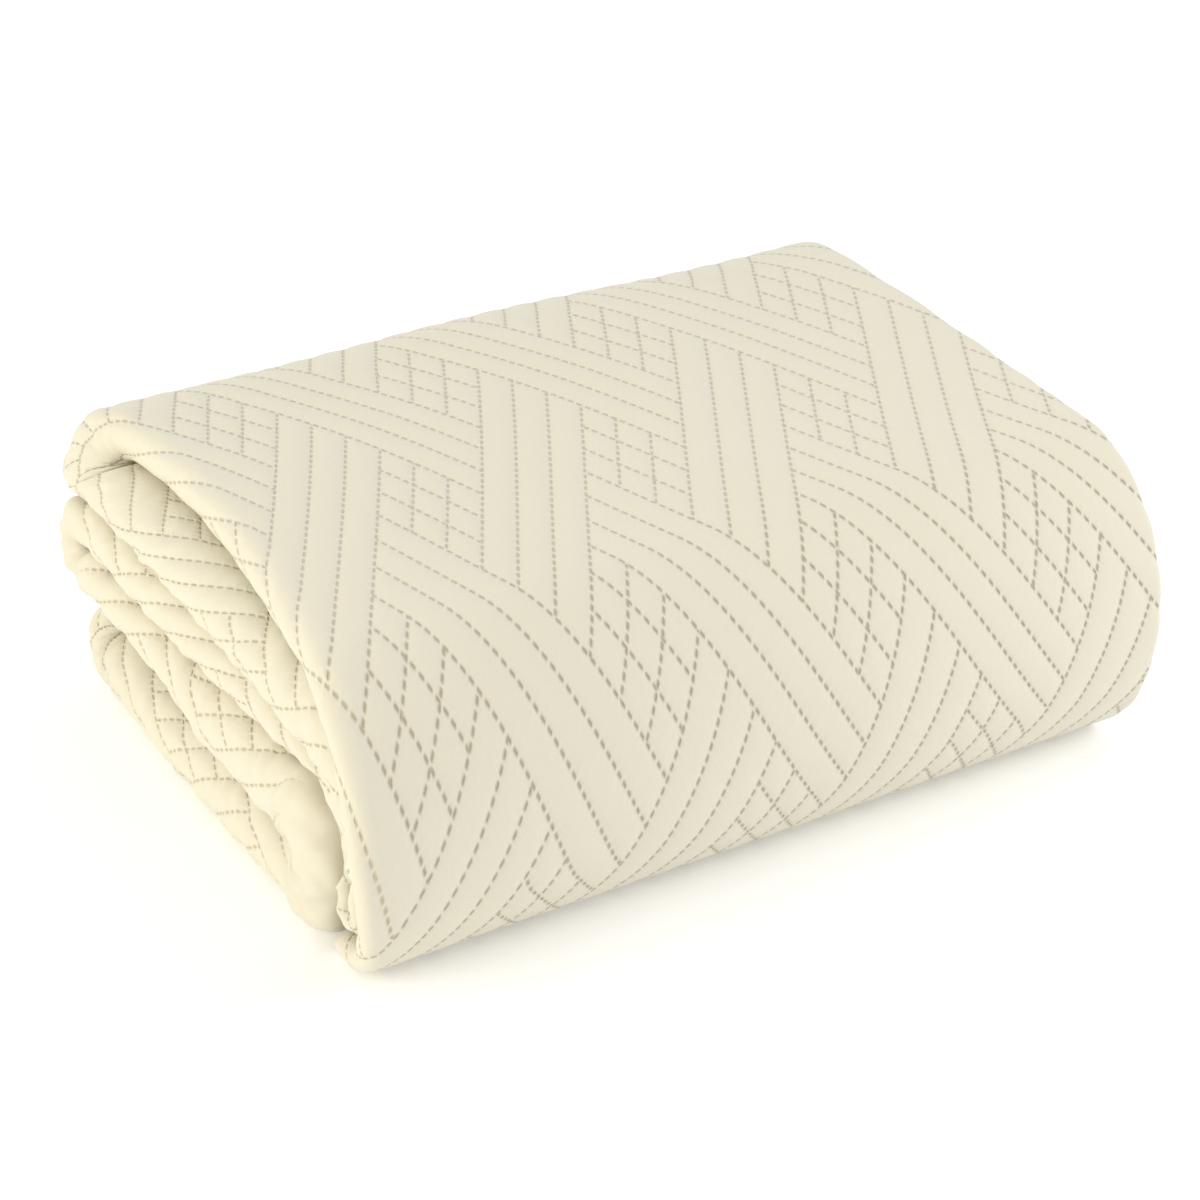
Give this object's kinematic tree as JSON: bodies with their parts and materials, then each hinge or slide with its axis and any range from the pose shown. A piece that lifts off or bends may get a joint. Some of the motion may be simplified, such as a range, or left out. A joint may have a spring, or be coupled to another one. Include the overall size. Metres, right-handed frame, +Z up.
{
  "type": "folded bedspread",
  "caption": "Quilted cotton bedspread folded into a thick block: layered bends at one end, a rounded front and a flat top and base.",
  "frame": {"origin": "middle of the base of the folded bedspread, on the surface it rests on", "axes": "+X along the folded length, with the layered bends at the -X end and the side hems at the +X end; -Y towards the rounded front; +Z up"},
  "size_m": [0.5518, 0.4446, 0.206],
  "materials": {
    "cream_cotton": "matt woven cotton with stitched quilting"
  },
  "bodies": {
    "root": {"bedspread": "cream_cotton"}
  },
  "joints": []
}
